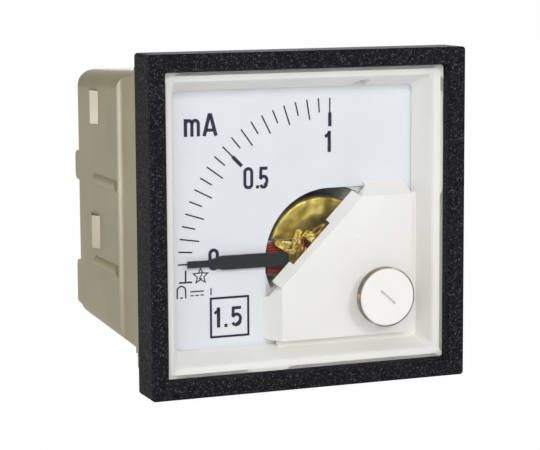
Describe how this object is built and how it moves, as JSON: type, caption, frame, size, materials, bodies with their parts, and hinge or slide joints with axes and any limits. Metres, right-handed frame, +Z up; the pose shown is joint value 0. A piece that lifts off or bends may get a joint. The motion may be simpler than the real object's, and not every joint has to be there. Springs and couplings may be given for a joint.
{
  "type": "analog panel meter",
  "caption": "Square moving-coil panel meter with a quarter-circle scale, swinging pointer, zero adjuster, deep square housing and threaded rear terminals.",
  "frame": {"origin": "middle of the square panel cut-out, in the plane where the back of the front frame meets the panel", "axes": "+Y from the front frame back through the panel to the terminals, +Z up the dial, +X to the right as the dial is read; the front faces -Y"},
  "size_m": [0.048, 0.0543, 0.048],
  "materials": {
    "black_thermoplastic": "grained front, satin sides",
    "clear_polystyrene": "clear, polished",
    "cream_moulding": "satin moulded",
    "white_moulding": "gloss moulded",
    "dial_enamel": "matt white enamel",
    "printing_ink": "flat dark blue-black print",
    "plain_steel": "turned",
    "pointer_lacquer": "matt black lacquer",
    "gilt_brass": "bright, passivated",
    "turned_brass": "turned",
    "spring_bronze": "thin rolled strip",
    "enamelled_copper": "wound enamelled wire",
    "former_aluminium": "bare folded strip",
    "white_frame_moulding": "moulded",
    "magnet_alloy": "ground",
    "plated_iron": "yellow passivated",
    "case_thermoplastic": "gloss moulded",
    "terminal_brass": "bright plated",
    "bobbin_resin": "moulded"
  },
  "bodies": {
    "housing": {"bezel": "black_thermoplastic", "window": "clear_polystyrene", "front_mask": "cream_moulding", "dial_plate": "dial_enamel", "scale_marks": "printing_ink", "dial_screws": "plain_steel", "front_hairspring": "spring_bronze", "rear_hairspring": "spring_bronze", "front_bridge": "gilt_brass", "front_jewel_screw": "gilt_brass", "bridge_screws": "plain_steel", "pointer_stops": "plain_steel", "movement_frame": "white_frame_moulding", "core_cap": "gilt_brass", "core_magnet": "magnet_alloy", "yoke_ring": "plated_iron", "movement_pillars": "turned_brass", "rear_bridge": "gilt_brass", "rear_jewel_screw": "turned_brass", "movement_screws": "plain_steel", "case": "case_thermoplastic", "stud_positive": "terminal_brass", "stud_negative": "terminal_brass", "terminal_washers": "terminal_brass", "terminal_nuts": "terminal_brass", "lead_straps": "terminal_brass", "trim_resistor": "bobbin_resin"},
    "moving_element": {"pointer": "pointer_lacquer", "pointer_carrier": "gilt_brass", "balance_weights": "turned_brass", "moving_coil": "enamelled_copper", "coil_former": "former_aluminium", "pivot_hub": "turned_brass", "front_pivot": "plain_steel", "rear_pivot": "plain_steel", "rear_spring_collet": "turned_brass"},
    "adjuster": {"zero_adjuster": "white_moulding"},
    "lever": {"zero_lever": "gilt_brass"}
  },
  "joints": [
    {"name": "pointer_swing", "type": "hinge", "parent": "housing", "child": "moving_element", "pos_m": [0.0056, 0, -0.0061], "axis": [0, 1, 0], "range_deg": [-3, 93], "stiffness_Nm_per_rad": 0.0001},
    {"name": "zero_adjuster_turn", "type": "hinge", "parent": "housing", "child": "adjuster", "pos_m": [0.012, 0, -0.0118], "axis": [0, 1, 0], "range_deg": [-25, 25]},
    {"name": "zero_lever_swing", "type": "hinge", "parent": "housing", "child": "lever", "pos_m": [0.0056, 0, -0.0061], "axis": [0, 1, 0], "range_deg": [-3.1, 3.1]}
  ],
  "couplings": [
    {"joint": "zero_lever_swing", "follows": "zero_adjuster_turn", "ratio": -0.11734}
  ]
}
